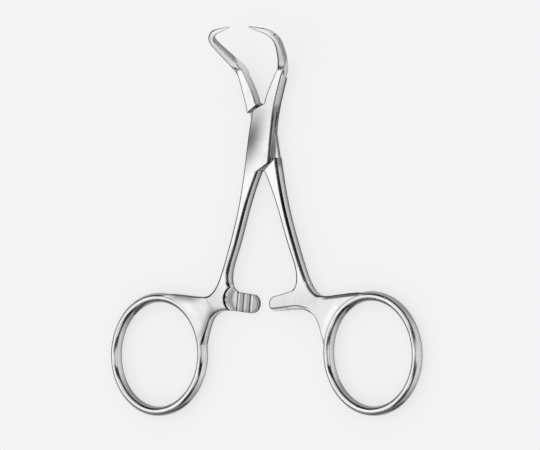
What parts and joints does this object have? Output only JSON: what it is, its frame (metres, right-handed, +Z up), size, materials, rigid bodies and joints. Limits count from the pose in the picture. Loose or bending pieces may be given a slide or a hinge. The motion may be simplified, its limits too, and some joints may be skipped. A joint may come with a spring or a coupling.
{
  "type": "towel clamp",
  "caption": "Ring-handled towel clamp of polished steel: box lock, sawtooth ratchet arms, oval finger rings and sharp points curved inward.",
  "frame": {"origin": "on the lock pin's axis, in the flat back face that the clamp rests on", "axes": "+Y along the clamp from the rings to the points, +X to the side of the half with the box's jaw, +Z up along the pin, to the side the points curve to"},
  "size_m": [0.1, 0.1092, 0.0156],
  "materials": {
    "polished_steel": "polished",
    "pin_steel": "ground flush and polished"
  },
  "bodies": {
    "female_body": {"female_half": "polished_steel", "lock_pin": "pin_steel"},
    "male_body": {"male_half": "polished_steel"}
  },
  "joints": [
    {"name": "box_lock_hinge", "type": "hinge", "parent": "female_body", "child": "male_body", "pos_m": [0, 0, 0.0021], "axis": [0, 0, 1], "range_deg": [-11, 30]}
  ]
}
